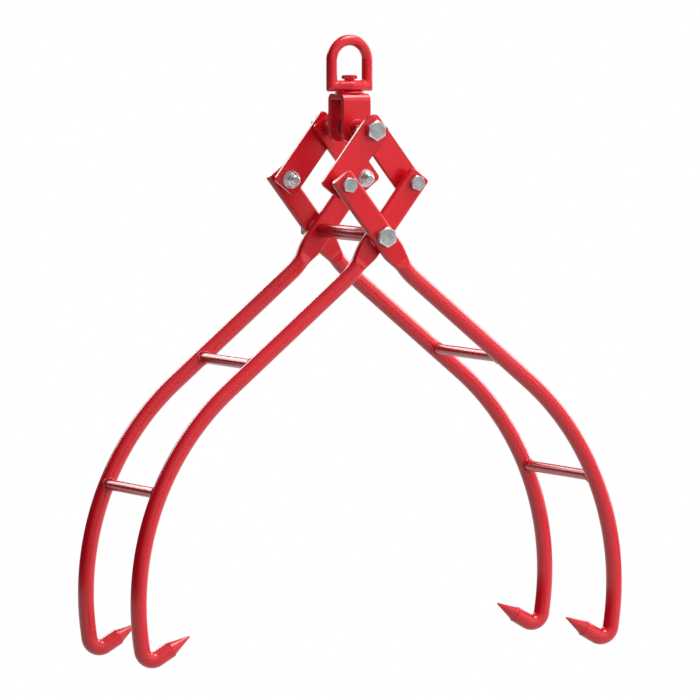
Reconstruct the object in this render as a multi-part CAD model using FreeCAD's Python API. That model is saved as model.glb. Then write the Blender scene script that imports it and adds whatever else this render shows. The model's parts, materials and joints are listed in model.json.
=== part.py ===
import FreeCAD, Part

import math
import os

from FreeCAD import Vector

# Four-claw log grapple. Millimetres, +Z up, logs lie along Y, the claws open along X.
# The origin is the centre of the lifting eye's arch.
# Each piece is built where it sits with the grapple hanging half open.

# ---- swivel ring (the lifting eye) ----
RING_BAR = 14.4             # diameter of the ring's round bar
EYE_WIDTH = 37.6            # clear, between the legs
EYE_HEIGHT = 45.6           # clear, crown to lower bar
RING_BOSS = 30.0            # diameter of the boss round the swivel pin
RING_BOSS_ROUND = 4.5       # rounding of the boss's rims

# ---- swivel pin and thrust washer ----
PIN_NECK = 13.2             # diameter where the ring turns on it
PIN_HEAD_FLATS = 18.0
PIN_HEAD_HEIGHT = 5.4
PIN_END_FLOAT = 1.5         # the ring's lift before it meets the pin's head
THRUST_WASHER_OD = 38.0
THRUST_WASHER_THICK = 2.6
THRUST_WASHER_ROUND = 0.8   # rounding of its rims

# ---- U-shaped bracket ----
BRACKET_WIDTH = 40.0        # along X
BRACKET_DEPTH = 46.0        # along Y, outside
BRACKET_PLATE = 7.5
BRACKET_BEND = 9.3          # outside radius of the two bends
BRACKET_DROP = 46.0         # top face to the top pivot
BRACKET_BELOW = 13.0        # top pivot to the ends of the legs
BRACKET_CORNER = 9.0

# ---- pivots and the diamond linkage ----
PIVOT_SPACING = 87.0        # between pivots, the same on links and arms
REST_HALF_ANGLE = 37.66     # of a link from the vertical, as modelled
LINK_WIDTH = 37.0
LINK_THICK = 6.0
LINK_END = 14.5             # pivot centre to the link's end
LINK_CORNER = 6.0
LINK_RIM = 0.5              # chamfer round both faces
LINK_SET_IN = 3.0           # the inner arms' inner face to the left links
TOP_TUBE_OD = 22.0
BOTTOM_TUBE_OD = 19.5
TUBE_WELD = 1.8             # leg of the fillet welds round the top tube

# ---- arms ----
ARM_FACE = 104.0            # outer face of the outer arms from the middle plane
PADDLE_WIDTH = 32.0
PADDLE_THICK = 12.5
PADDLE_END = 13.5           # upper pivot to the paddle's end
PADDLE_CORNER = 6.0
PADDLE_FULL_BELOW = 22.0    # full width ends this far below the bottom pivot
SCOOP_FLAT_BELOW = 40.0     # the flat ends this far below the bottom pivot
SCOOP_RADIUS = 16.0
ROD = 20.0                  # diameter of the arm's round bar
KNEE_BELOW = 62.0           # bottom pivot to the outward bend
KNEE_ANGLE = 12.8
KNEE_RADIUS = 90.0
SHANK_LENGTH = 220.6        # straight bar between the knee and the long bow
BOW_RADIUS = 354.0
BOW_ANGLE = 58.5
HOOK_RADIUS = 21.0
HOOK_ANGLE = 112.0
HOOK_STRAIGHT = 12.6
POINT_LENGTH = 31.0
POINT_SHOULDER = 0.5        # step down from the bar to the point
POINT_TIP = 1.1             # radius of the blunted tip
POINT_TIP_BEVEL = 0.5

# ---- rungs ----
RUNG = 14.0
UPPER_RUNG_AT = 170.0       # along the straight bar from the knee
LOWER_RUNG_ANGLE = 26.6     # along the bow from its start
RUNG_WELD = 3.5             # leg of the fillet welds
RUNG_WELD_BACK = 2.2        # from the arm's inmost surface back to where the weld starts

# ---- fasteners ----
M12 = {"d": 12.0, "flats": 18.0, "head": 7.5, "nut": 10.8}
M16 = {"d": 16.0, "flats": 24.0, "head": 10.0, "nut": 14.8}
M12_WASHER = {"od": 24.0, "thick": 2.5}
M16_WASHER = {"od": 30.0, "thick": 2.8}
LEFT_HEAD_TURN = 20.0       # how far each side bolt's head happens to be turned
RIGHT_HEAD_TURN = 12.0
SPACER_OD = 21.0
THREAD_END = 3.0            # bolt end past its nut
THREAD_BEVEL = 1.4          # bevel round a bolt's end
HEXAGON_LIP = 0.46          # radius of a hexagon's flat face over its size across flats
HEXAGON_BEVEL = 30.0        # slope of its corners' bevels

# ---- clearances ----
RUN = 0.06                  # radial, a bolt in what turns on it
FREE = 0.3                  # radial, the right side bolts in the left-hand arms
SIDE_GAP = 0.2              # between faces that slide past each other
SEAT = 0.02                 # radial, a bolt in its own nut, washer or spacer

X_AXIS = Vector(1, 0, 0)
Y_AXIS = Vector(0, 1, 0)
Z_AXIS = Vector(0, 0, 1)
FRONT, REAR = -1, 1

# ---- levels that follow ----
ring_r = RING_BAR / 2
leg_x = (EYE_WIDTH + RING_BAR) / 2
eye_floor_z = EYE_WIDTH / 2 - EYE_HEIGHT
ring_bottom_z = eye_floor_z - RING_BAR
bracket_top_z = ring_bottom_z - SIDE_GAP - THRUST_WASHER_THICK
top_z = bracket_top_z - BRACKET_DROP
half_angle = math.radians(REST_HALF_ANGLE)
side_x = PIVOT_SPACING * math.sin(half_angle)
side_z = top_z - PIVOT_SPACING * math.cos(half_angle)
bottom_z = 2 * side_z - top_z

# Layers from the outside in: inner and outer face, as distances from the middle plane.
outer_arm = (ARM_FACE - PADDLE_THICK, ARM_FACE)
inner_face = outer_arm[0] - M16_WASHER["thick"] - SIDE_GAP
inner_arm = (inner_face - PADDLE_THICK, inner_face)
left_face = inner_arm[0] - LINK_SET_IN
left_link = (left_face - LINK_THICK, left_face)
right_face = left_link[0] - SIDE_GAP
right_link = (right_face - LINK_THICK, right_face)
top_tube_end = right_link[0] - SIDE_GAP
bottom_tube_end = inner_arm[0] - SIDE_GAP

PARTS = {}


# ---- basic solids ----
def rod_y(radius, y0, y1, x, z):
    low, high = min(y0, y1), max(y0, y1)
    return Part.makeCylinder(radius, high - low, Vector(x, low, z), Y_AXIS)


def tube_y(outer, inner, y0, y1, x, z):
    low, high = min(y0, y1), max(y0, y1)
    return rod_y(outer, low, high, x, z).cut(rod_y(inner, low - 1, high + 1, x, z))


def face_of(points):
    return Part.Face(Part.makePolygon(list(points) + [points[0]]))


def hex_prism(flats, height):
    """A hexagon standing on the XY plane, a corner towards +Y, its corners bevelled."""
    corner = flats / math.sqrt(3)
    points = []
    for i in range(6):
        angle = math.radians(60 * i + 30)
        points.append(Vector(corner * math.cos(angle), corner * math.sin(angle), 0))
    prism = face_of(points).extrude(Z_AXIS * height)
    lip = flats * HEXAGON_LIP
    bevel = (corner - lip) * math.tan(math.radians(HEXAGON_BEVEL))
    outline = [
        Vector(0, 0, 0),
        Vector(lip, 0, 0),
        Vector(corner, 0, bevel),
        Vector(corner, 0, height - bevel),
        Vector(lip, 0, height),
        Vector(0, 0, height),
    ]
    return prism.common(face_of(outline).revolve(Vector(), Z_AXIS, 360))


def stand_out(shape, x, y, z, out):
    """Point a solid that was built up +Z along Y instead, outwards +1 or -1, and place it."""
    shape = shape.copy()
    shape.rotate(Vector(), X_AXIS, -90 * out)
    shape.translate(Vector(x, y, z))
    return shape


def bolt(size, x, z, seat, end, turn=0.0):
    """A hex bolt. Its head bears at y = seat and its thread ends at y = end."""
    out = 1 if seat > end else -1
    head = hex_prism(size["flats"], size["head"])
    head.rotate(Vector(), Z_AXIS, turn)
    r = size["d"] / 2
    length = abs(seat - end)
    straight = length - THREAD_BEVEL
    shank = Part.makeCylinder(r, straight)
    point = Part.makeCone(r, r - THREAD_BEVEL, THREAD_BEVEL, Vector(0, 0, straight))
    shank = stand_out(shank.fuse(point), x, seat, z, -out)
    return stand_out(head, x, seat, z, out).fuse(shank).removeSplitter()


def nut(size, x, z, seat, out, turn=0.0):
    """A hex nut on a bolt. It bears at y = seat and stands out from there."""
    body = hex_prism(size["flats"], size["nut"])
    body.rotate(Vector(), Z_AXIS, turn)
    body = stand_out(body, x, seat, z, out)
    return body.cut(rod_y(size["d"] / 2 + SEAT, seat - 40, seat + 40, x, z))


def washer(size, bolt_size, x, z, y0, y1):
    return tube_y(size["od"] / 2, bolt_size["d"] / 2 + SEAT, y0, y1, x, z)


def fillet_ring(inner, leg, y_wall, out, x, z):
    """A fillet weld round a bar that stands out of a wall."""
    return Part.makeCone(inner + leg, inner, leg, Vector(x, y_wall, z), Y_AXIS * out)


# ---- swivel ring: a round bar bent to an arch and forged square at the foot ----
def swivel_ring():
    right = Vector(leg_x, 0, 0)
    crown = Vector(0, 0, leg_x)
    arch = Part.Wire(Part.Arc(right, crown, -right).toShape())
    body = arch.makePipe(Part.Face(Part.Wire(Part.makeCircle(ring_r, right, Z_AXIS))))
    mid_z = eye_floor_z - ring_r
    # Each lower corner is a leg and a bar that meet on a mitre.
    reach = 4 * RING_BAR
    for side in (1, -1):
        corner = Vector(side * leg_x, 0, mid_z)
        far_out = Vector(side * (leg_x + ring_r), 0, mid_z - ring_r)
        leg = Part.makeCylinder(ring_r, ring_r - mid_z, corner - Z_AXIS * ring_r, Z_AXIS)
        bar = Part.makeCylinder(ring_r, leg_x + ring_r, Vector(far_out.x, 0, mid_z), X_AXIS * -side)
        diagonal = Vector(-side, 0, 1) * reach
        y0 = Y_AXIS * -reach
        outside = face_of([far_out + y0, far_out + diagonal + y0, far_out + Z_AXIS * reach + y0])
        outside = outside.extrude(Y_AXIS * 2 * reach)
        body = body.fuse([leg.common(outside), bar.cut(outside)])
    # The boss runs out into the lower bar along tangents, like a flattened eye.
    boss_r = RING_BOSS / 2
    lean = math.acos((boss_r - ring_r) / leg_x)
    tx, ty = math.cos(lean), math.sin(lean)
    near = Vector(boss_r * tx, boss_r * ty, 0)
    far = Vector(leg_x + ring_r * tx, ring_r * ty, 0)
    flip = Vector(-near.x, near.y, 0)
    outline = [
        Part.LineSegment(far, near).toShape(),
        Part.Arc(near, Y_AXIS * boss_r, flip).toShape(),
        Part.LineSegment(flip, Vector(-far.x, far.y, 0)).toShape(),
        Part.LineSegment(Vector(-far.x, far.y, 0), Vector(-far.x, -far.y, 0)).toShape(),
        Part.LineSegment(Vector(-far.x, -far.y, 0), Vector(-near.x, -near.y, 0)).toShape(),
        Part.Arc(Vector(-near.x, -near.y, 0), Y_AXIS * -boss_r, Vector(near.x, -near.y, 0)).toShape(),
        Part.LineSegment(Vector(near.x, -near.y, 0), Vector(far.x, -far.y, 0)).toShape(),
        Part.LineSegment(Vector(far.x, -far.y, 0), far).toShape(),
    ]
    boss = Part.Face(Part.Wire(outline)).extrude(Z_AXIS * RING_BAR)
    boss = boss.makeFillet(RING_BOSS_ROUND, [e for e in boss.Edges if e.BoundBox.ZLength < 1e-6])
    boss.translate(Z_AXIS * ring_bottom_z)
    body = body.fuse(boss).removeSplitter()
    bore = Part.makeCylinder(PIN_NECK / 2 + RUN, RING_BAR + 2, Vector(0, 0, ring_bottom_z - 1))
    return body.cut(bore)


# ---- swivel pin: shouldered, its thread held in the bracket by a nut ----
def swivel_pin():
    head = hex_prism(PIN_HEAD_FLATS, PIN_HEAD_HEIGHT)
    head_z = eye_floor_z + PIN_END_FLOAT
    head.translate(Z_AXIS * head_z)
    neck = Part.makeCylinder(PIN_NECK / 2, head_z - bracket_top_z, Vector(0, 0, bracket_top_z))
    end_z = bracket_top_z - BRACKET_PLATE - M12["nut"] - THREAD_END
    thread = Part.makeCylinder(M12["d"] / 2, bracket_top_z - end_z, Vector(0, 0, end_z))
    return head.fuse([neck, thread]).removeSplitter()


def swivel_nut():
    body = hex_prism(M12["flats"], M12["nut"])
    body = body.cut(Part.makeCylinder(M12["d"] / 2 + SEAT, M12["nut"]))
    body.translate(Z_AXIS * (bracket_top_z - BRACKET_PLATE - M12["nut"]))
    return body


def thrust_washer():
    disc = Part.makeCylinder(THRUST_WASHER_OD / 2, THRUST_WASHER_THICK, Vector(0, 0, bracket_top_z))
    edges = [e for e in disc.Edges if e.BoundBox.ZLength < 1e-6]
    disc = disc.makeFillet(THRUST_WASHER_ROUND, edges)
    hole = Part.makeCylinder(PIN_NECK / 2 + SEAT, THRUST_WASHER_THICK, Vector(0, 0, bracket_top_z))
    return disc.cut(hole)


# ---- bracket: a flat bar bent to a U, open side down ----
def bracket():
    width, half = BRACKET_WIDTH, BRACKET_DEPTH / 2
    height = BRACKET_DROP + BRACKET_BELOW
    foot_z = bracket_top_z - height
    corner = Vector(-width / 2, -half, foot_z)
    block = Part.makeBox(width, BRACKET_DEPTH, height, corner)
    bends = [e for e in block.Edges if e.BoundBox.XLength > width - 1 and e.CenterOfMass.z > top_z]
    block = block.makeFillet(BRACKET_BEND, bends)
    slot = Part.makeBox(
        width + 2,
        BRACKET_DEPTH - 2 * BRACKET_PLATE,
        height - BRACKET_PLATE + 1,
        corner + Vector(-1, BRACKET_PLATE, -1),
    )
    inner = [e for e in slot.Edges if e.BoundBox.XLength > width and e.CenterOfMass.z > top_z]
    slot = slot.makeFillet(BRACKET_BEND - BRACKET_PLATE, inner)
    body = block.cut(slot)
    feet = [e for e in body.Edges if e.BoundBox.YLength > 1 and e.CenterOfMass.z < foot_z + 0.1]
    feet = [e for e in feet if e.BoundBox.XLength < 0.1]
    body = body.makeFillet(BRACKET_CORNER, feet)
    body = body.cut(rod_y(TOP_TUBE_OD / 2 + SEAT, -half - 1, half + 1, 0, top_z))
    inside_z = bracket_top_z - BRACKET_PLATE
    hole = Part.makeCylinder(M12["d"] / 2 + SEAT, BRACKET_PLATE + 2, Vector(0, 0, inside_z - 1))
    return body.cut(hole)


def top_tube():
    outer = TOP_TUBE_OD / 2
    body = rod_y(outer, -top_tube_end, top_tube_end, 0, top_z)
    half = BRACKET_DEPTH / 2
    for out in (FRONT, REAR):
        body = body.fuse(fillet_ring(outer, TUBE_WELD, out * half, out, 0, top_z))
        body = body.fuse(fillet_ring(outer, TUBE_WELD, out * (half - BRACKET_PLATE), -out, 0, top_z))
    return body.cut(rod_y(M16["d"] / 2 + RUN, -top_tube_end - 1, top_tube_end + 1, 0, top_z))


# ---- links: flat bars with rounded corners and two holes ----
def link(layer, out, side, side_hole):
    """side is -1 for the link to the left pivot and +1 for the one to the right."""
    length = PIVOT_SPACING + 2 * LINK_END
    y0 = min(out * layer[0], out * layer[1])
    corner = Vector(-LINK_WIDTH / 2, y0, -PIVOT_SPACING - LINK_END)
    plate = Part.makeBox(LINK_WIDTH, LINK_THICK, length, corner)
    corners = [e for e in plate.Edges if e.BoundBox.YLength > LINK_THICK / 2]
    plate = plate.makeFillet(LINK_CORNER, corners)
    rims = [e for e in plate.Edges if e.BoundBox.YLength < 1e-6]
    plate = plate.makeChamfer(LINK_RIM, rims)
    plate = plate.cut(rod_y(M16["d"] / 2 + RUN, y0 - 1, y0 + LINK_THICK + 1, 0, 0))
    plate = plate.cut(rod_y(side_hole, y0 - 1, y0 + LINK_THICK + 1, 0, -PIVOT_SPACING))
    plate.rotate(Vector(), Y_AXIS, -side * REST_HALF_ANGLE)
    plate.translate(Z_AXIS * top_z)
    return plate


# ---- arms: one round bar each, upset and pressed flat at the top ----
def walk(steps, at, heading):
    """Edges of a path in the XZ plane. A step is (radius, degrees) or (0, length).

    The heading is measured from straight down towards +X, and positive bends add to it.
    """
    edges = []
    for radius, amount in steps:
        a = math.radians(heading)
        if radius == 0:
            end = at + Vector(math.sin(a), 0, -math.cos(a)) * amount
            edges.append(Part.LineSegment(at, end).toShape())
        else:
            sign = 1 if amount > 0 else -1
            centre = at + Vector(math.cos(a), 0, math.sin(a)) * (sign * radius)
            points = []
            for part in (0.5, 1.0):
                b = math.radians(heading + amount * part)
                points.append(centre - Vector(math.cos(b), 0, math.sin(b)) * (sign * radius))
            edges.append(Part.Arc(at, points[0], points[1]).toShape())
            end = points[1]
            heading += amount
        at = end
    return edges, at, heading


knee_start = KNEE_BELOW - KNEE_RADIUS * math.tan(math.radians(KNEE_ANGLE / 2))
KNEE = [(KNEE_RADIUS, KNEE_ANGLE)]
SHANK = [(0, SHANK_LENGTH)]
BOW = [(BOW_RADIUS, -BOW_ANGLE)]
HOOK = [(HOOK_RADIUS, -HOOK_ANGLE), (0, HOOK_STRAIGHT)]
ROD_TOP = Vector(0, 0, -knee_start)


def bar_section(half_width, z):
    """The bar's outline at a level: round, or upset to an ellipse that is wider along X."""
    centre = Vector(0, 0, z)
    if half_width - ROD / 2 < 1e-6:
        return Part.Wire(Part.makeCircle(ROD / 2, centre, Z_AXIS))
    return Part.Wire(Part.Ellipse(centre, half_width, ROD / 2).toShape())


def arm_blank():
    """The arm about its bottom pivot, paddle upright, claw to +X, not yet pressed flat."""
    r = ROD / 2
    edges, end, heading = walk(KNEE + SHANK + BOW + HOOK, ROD_TOP, 0)
    bar = Part.Wire(edges).makePipe(Part.Face(Part.Wire(Part.makeCircle(r, ROD_TOP, Z_AXIS))))
    top = PIVOT_SPACING + PADDLE_END
    half = PADDLE_WIDTH / 2
    upset = Part.Face(bar_section(half, -PADDLE_FULL_BELOW)).extrude(Z_AXIS * (top + PADDLE_FULL_BELOW))
    sections = []
    stations = 6
    for i in range(stations + 1):
        t = i / stations
        ease = t * t * (3 - 2 * t)
        z = -PADDLE_FULL_BELOW - t * (knee_start - PADDLE_FULL_BELOW)
        sections.append(bar_section(half - ease * (half - r), z))
    shoulder = Part.makeLoft(sections, True, False)
    a = math.radians(heading)
    base = r - POINT_SHOULDER
    profile = [
        Vector(0, 0, -0.5),
        Vector(base, 0, -0.5),
        Vector(base, 0, 0),
        Vector(POINT_TIP, 0, POINT_LENGTH - POINT_TIP_BEVEL),
        Vector(POINT_TIP - POINT_TIP_BEVEL, 0, POINT_LENGTH),
        Vector(0, 0, POINT_LENGTH),
    ]
    point = face_of(profile).revolve(Vector(), Z_AXIS, 360)
    point.rotate(Vector(), Y_AXIS, 180 - heading)
    point.translate(end)
    return bar.fuse([upset, shoulder, point])


def press_die(out):
    """What the press takes off one face: flat over the paddle, a scoop where it ends."""
    reach = PADDLE_WIDTH
    face = out * PADDLE_THICK / 2
    top = PIVOT_SPACING + PADDLE_END + reach
    depth = SCOOP_RADIUS
    y0 = min(face, face + out * depth)
    corner = Vector(-reach, y0, -SCOOP_FLAT_BELOW)
    slab = Part.makeBox(2 * reach, depth, top + SCOOP_FLAT_BELOW, corner)
    axis = Vector(-reach, face + out * SCOOP_RADIUS, -SCOOP_FLAT_BELOW)
    return slab.fuse(Part.makeCylinder(SCOOP_RADIUS, 2 * reach, axis, X_AXIS))


def pressed_arm():
    body = arm_blank()
    for out in (FRONT, REAR):
        body = body.cut(press_die(out))
    # The paddle's end has rounded corners.
    top = PIVOT_SPACING + PADDLE_END
    half = PADDLE_WIDTH / 2
    ends = Part.makeBox(2 * half, ROD, top, Vector(-half, -ROD / 2, 0))
    keep_corners = ends.makeFillet(
        PADDLE_CORNER,
        [e for e in ends.Edges if e.BoundBox.YLength > 1 and e.CenterOfMass.z > top - 1],
    )
    return body.cut(ends.cut(keep_corners))


def arm(blank, layer, out, side, side_clearance, bottom_clearance):
    """side is +1 for a right-hand claw and -1 for a left-hand one."""
    body = blank.cut(rod_y(M12["d"] / 2 + side_clearance, -ROD, ROD, 0, PIVOT_SPACING))
    body = body.cut(rod_y(M16["d"] / 2 + bottom_clearance, -ROD, ROD, 0, 0))
    body.rotate(Vector(), Y_AXIS, -REST_HALF_ANGLE)
    if side < 0:
        body = body.mirror(Vector(), X_AXIS)
    body.translate(Vector(0, out * (layer[0] + layer[1]) / 2, bottom_z))
    return body


# ---- rungs: round bars coped to the arms' rods and welded ----
def rung_place(steps, side):
    edges, at, heading = walk(steps, ROD_TOP, 0)
    turned = FreeCAD.Rotation(Y_AXIS, -REST_HALF_ANGLE).multVec(at)
    return side * turned.x, turned.z + bottom_z


def rung(steps, layer, side, arms):
    x, z = rung_place(steps, side)
    mid = (layer[0] + layer[1]) / 2
    body = rod_y(RUNG / 2, -mid, mid, x, z)
    start = mid - ROD / 2 - RUNG_WELD_BACK
    for out in (FRONT, REAR):
        foot = Vector(x, out * start, z)
        weld = Part.makeCone(RUNG / 2, RUNG / 2 + RUNG_WELD, RUNG_WELD, foot, Y_AXIS * out)
        body = body.fuse(weld)
    for one in arms:
        body = body.cut(one)
    return max(body.Solids, key=lambda s: s.Volume)


def build():
    PARTS["swivel_ring"] = swivel_ring()
    PARTS["swivel_pin"] = swivel_pin()
    PARTS["swivel_pin_nut"] = swivel_nut()
    PARTS["thrust_washer"] = thrust_washer()
    PARTS["bracket"] = bracket()
    PARTS["top_pivot_tube"] = top_tube()

    names = {FRONT: "front", REAR: "rear"}
    # Top pivot: a long bolt with its head at the front.
    seat = left_link[1] + SIDE_GAP
    end = seat + SIDE_GAP + M16_WASHER["thick"] + M16["nut"] + THREAD_END
    PARTS["top_pivot_bolt"] = bolt(M16, 0, top_z, -seat, end)
    PARTS["top_pivot_washer"] = washer(M16_WASHER, M16, 0, top_z, seat, seat + M16_WASHER["thick"])
    PARTS["top_pivot_nut"] = nut(M16, 0, top_z, seat + M16_WASHER["thick"], REAR)

    for out in (FRONT, REAR):
        PARTS[names[out] + "_left_link"] = link(left_link, out, -1, M12["d"] / 2 + SEAT)
        PARTS[names[out] + "_right_link"] = link(right_link, out, 1, M12["d"] / 2 + SEAT)

    # Side pivots: short bolts, heads outside, a spacer between arm and link.
    sides = (
        ("left", -side_x, outer_arm, left_link, LEFT_HEAD_TURN),
        ("right", side_x, inner_arm, right_link, RIGHT_HEAD_TURN),
    )
    for name, x, arm_layer, link_layer, turn in sides:
        for out in (FRONT, REAR):
            seat = arm_layer[1] + SIDE_GAP
            nut_seat = link_layer[0] - M12_WASHER["thick"]
            end = nut_seat - M12["nut"] - THREAD_END
            tag = names[out] + "_" + name
            PARTS[tag + "_bolt"] = bolt(M12, x, side_z, out * seat, out * end, turn)
            PARTS[tag + "_spacer"] = tube_y(
                SPACER_OD / 2,
                M12["d"] / 2 + SEAT,
                out * (arm_layer[0] - SIDE_GAP),
                out * link_layer[1],
                x,
                side_z,
            )
            PARTS[tag + "_washer"] = washer(M12_WASHER, M12, x, side_z, out * nut_seat, out * link_layer[0])
            PARTS[tag + "_nut"] = nut(M12, x, side_z, out * nut_seat, -out, turn)

    # Arms: the right-hand claws hang in the outer layers and the left-hand ones in the inner.
    blank = pressed_arm()
    for out in (FRONT, REAR):
        PARTS[names[out] + "_right_arm"] = arm(blank, outer_arm, out, 1, RUN, SEAT)
        PARTS[names[out] + "_left_arm"] = arm(blank, inner_arm, out, -1, FREE, RUN)
    knee_to_rung = KNEE + [(0, UPPER_RUNG_AT)]
    bow_to_rung = KNEE + SHANK + [(BOW_RADIUS, -LOWER_RUNG_ANGLE)]
    for name, side, layer in (("right", 1, outer_arm), ("left", -1, inner_arm)):
        pair = [PARTS["front_" + name + "_arm"], PARTS["rear_" + name + "_arm"]]
        PARTS["upper_" + name + "_rung"] = rung(knee_to_rung, layer, side, pair)
        PARTS["lower_" + name + "_rung"] = rung(bow_to_rung, layer, side, pair)

    # Bottom pivot: a long bolt through all four arms and the spacer tube.
    end = ARM_FACE + M16_WASHER["thick"] + M16["nut"] + THREAD_END
    PARTS["bottom_pivot_bolt"] = bolt(M16, 0, bottom_z, -ARM_FACE, end)
    PARTS["bottom_pivot_tube"] = tube_y(
        BOTTOM_TUBE_OD / 2,
        M16["d"] / 2 + SEAT,
        -bottom_tube_end,
        bottom_tube_end,
        0,
        bottom_z,
    )
    PARTS["bottom_pivot_nut"] = nut(M16, 0, bottom_z, ARM_FACE + M16_WASHER["thick"], REAR)
    PARTS["bottom_nut_washer"] = washer(
        M16_WASHER, M16, 0, bottom_z, ARM_FACE, ARM_FACE + M16_WASHER["thick"]
    )
    for out in (FRONT, REAR):
        PARTS[names[out] + "_arm_washer"] = washer(
            M16_WASHER, M16, 0, bottom_z, out * (inner_arm[1] + SIDE_GAP), out * outer_arm[0]
        )


build()
os.makedirs("parts", exist_ok=True)
for name, shape in PARTS.items():
    shape.exportStep(os.path.join("parts", name + ".step"))
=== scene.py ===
import json
from math import atan2, cos, hypot, pi, radians, sin, sqrt, tan

import bmesh
import bpy
from mathutils import Matrix, Vector


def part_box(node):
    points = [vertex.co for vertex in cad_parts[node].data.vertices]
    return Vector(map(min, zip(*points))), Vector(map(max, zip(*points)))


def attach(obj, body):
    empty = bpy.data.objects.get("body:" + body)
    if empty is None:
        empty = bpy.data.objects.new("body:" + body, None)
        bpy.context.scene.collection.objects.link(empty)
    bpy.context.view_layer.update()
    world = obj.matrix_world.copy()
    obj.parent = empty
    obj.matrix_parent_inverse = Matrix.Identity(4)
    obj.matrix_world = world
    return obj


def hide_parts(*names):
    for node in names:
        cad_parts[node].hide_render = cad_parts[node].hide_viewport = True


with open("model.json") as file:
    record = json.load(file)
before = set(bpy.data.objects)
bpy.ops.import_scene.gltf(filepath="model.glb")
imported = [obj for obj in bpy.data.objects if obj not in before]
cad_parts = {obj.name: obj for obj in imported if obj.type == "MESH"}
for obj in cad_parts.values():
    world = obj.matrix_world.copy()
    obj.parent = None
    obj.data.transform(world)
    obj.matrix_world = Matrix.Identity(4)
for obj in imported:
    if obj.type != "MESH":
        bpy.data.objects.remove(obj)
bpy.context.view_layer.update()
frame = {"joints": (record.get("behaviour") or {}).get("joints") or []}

# ------------------------------------------------------------------
# Viewpoint. The grapple is seen from its front, a little over a quarter of the
# way round to its left side, slightly from above and through a long lens.
eye_point = bpy.data.cameras.new("eye_point")
eye_point.lens = 357.4
eye_point.sensor_width = 36.0
eye_point.clip_end = 120.0
watcher = bpy.data.objects.new("watcher", eye_point)
watcher.location = (-4.0749, -8.1745, 0.2543)
looked_at = Vector((0.00083, 0.0, -0.38204))
watcher.rotation_euler = (looked_at - watcher.location).to_track_quat("-Z", "Y").to_euler()
bpy.context.collection.objects.link(watcher)
bpy.context.scene.camera = watcher
bpy.context.scene.view_settings.view_transform = "Standard"

# ------------------------------------------------------------------
# Studio. A wide floor well below the hanging grapple, and a sky, both white to
# look at. What the gloss mirrors is a floor that is white near by and grey
# further out, and a sky that is dim on the left.
studio_floor = bpy.data.meshes.new("studio_floor")
bm = bmesh.new()
bmesh.ops.create_circle(bm, cap_ends=True, segments=96, radius=90.0,
                        matrix=Matrix.Translation((0, 0, -1.25)))
bm.to_mesh(studio_floor)
bm.free()
pale = bpy.data.materials.new("pale_floor")
pale.use_nodes = True
tree = pale.node_tree
tree.nodes.clear()
out = tree.nodes.new("ShaderNodeOutputMaterial")
seen = tree.nodes.new("ShaderNodeLightPath")
glow = tree.nodes.new("ShaderNodeEmission")
glow.inputs["Color"].default_value = (1, 1, 1, 1)
matt = tree.nodes.new("ShaderNodeBsdfDiffuse")
matt.inputs["Color"].default_value = (0.30, 0.28, 0.28, 1)
either = tree.nodes.new("ShaderNodeMixShader")
tree.links.new(seen.outputs["Is Camera Ray"], either.inputs["Fac"])
tree.links.new(matt.outputs[0], either.inputs[1])
tree.links.new(glow.outputs[0], either.inputs[2])
glare = tree.nodes.new("ShaderNodeEmission")
glare.inputs["Color"].default_value = (0.9, 0.87, 0.87, 1)
where = tree.nodes.new("ShaderNodeTexCoord")
away = tree.nodes.new("ShaderNodeVectorMath")
away.operation = "LENGTH"
near = tree.nodes.new("ShaderNodeMapRange")
near.inputs["From Min"].default_value = 9.0
near.inputs["From Max"].default_value = 6.0
near_in_gloss = tree.nodes.new("ShaderNodeMath")
near_in_gloss.operation = "MULTIPLY"
below = tree.nodes.new("ShaderNodeMixShader")
tree.links.new(where.outputs["Object"], away.inputs[0])
tree.links.new(away.outputs["Value"], near.inputs["Value"])
tree.links.new(near.outputs[0], near_in_gloss.inputs[0])
tree.links.new(seen.outputs["Is Glossy Ray"], near_in_gloss.inputs[1])
tree.links.new(near_in_gloss.outputs[0], below.inputs["Fac"])
tree.links.new(either.outputs[0], below.inputs[1])
tree.links.new(glare.outputs[0], below.inputs[2])
tree.links.new(below.outputs[0], out.inputs["Surface"])
studio_floor.materials.append(pale)
ground = bpy.data.objects.new("studio_floor", studio_floor)
bpy.context.collection.objects.link(ground)

world = bpy.data.worlds.new("studio_air")
bpy.context.scene.world = world
world.use_nodes = True
tree = world.node_tree
tree.nodes.clear()
out = tree.nodes.new("ShaderNodeOutputWorld")
seen = tree.nodes.new("ShaderNodeLightPath")
bright = tree.nodes.new("ShaderNodeBackground")
bright.inputs["Color"].default_value = (1, 1, 1, 1)
dim = tree.nodes.new("ShaderNodeBackground")
dim.inputs["Color"].default_value = (1, 1, 1, 1)
either = tree.nodes.new("ShaderNodeMixShader")
place = tree.nodes.new("ShaderNodeTexCoord")
facing = tree.nodes.new("ShaderNodeVectorMath")
facing.operation = "DOT_PRODUCT"
facing.inputs[1].default_value = Vector((0.75, -0.5, 0.43)).normalized()
swell = tree.nodes.new("ShaderNodeValToRGB")
swell.color_ramp.elements[0].position = 0.30
swell.color_ramp.elements[0].color = (0.015, 0.012, 0.012, 1)
swell.color_ramp.elements[1].position = 0.95
swell.color_ramp.elements[1].color = (0.85, 0.85, 0.85, 1)
spread = tree.nodes.new("ShaderNodeMapRange")
spread.inputs["From Min"].default_value = -1.0
tree.links.new(place.outputs["Generated"], facing.inputs[0])
tree.links.new(facing.outputs["Value"], spread.inputs["Value"])
tree.links.new(spread.outputs[0], swell.inputs["Fac"])
tree.links.new(swell.outputs["Color"], dim.inputs["Color"])
tree.links.new(seen.outputs["Is Camera Ray"], either.inputs["Fac"])
tree.links.new(dim.outputs[0], either.inputs[1])
tree.links.new(bright.outputs[0], either.inputs[2])
tree.links.new(either.outputs[0], out.inputs["Surface"])

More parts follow.
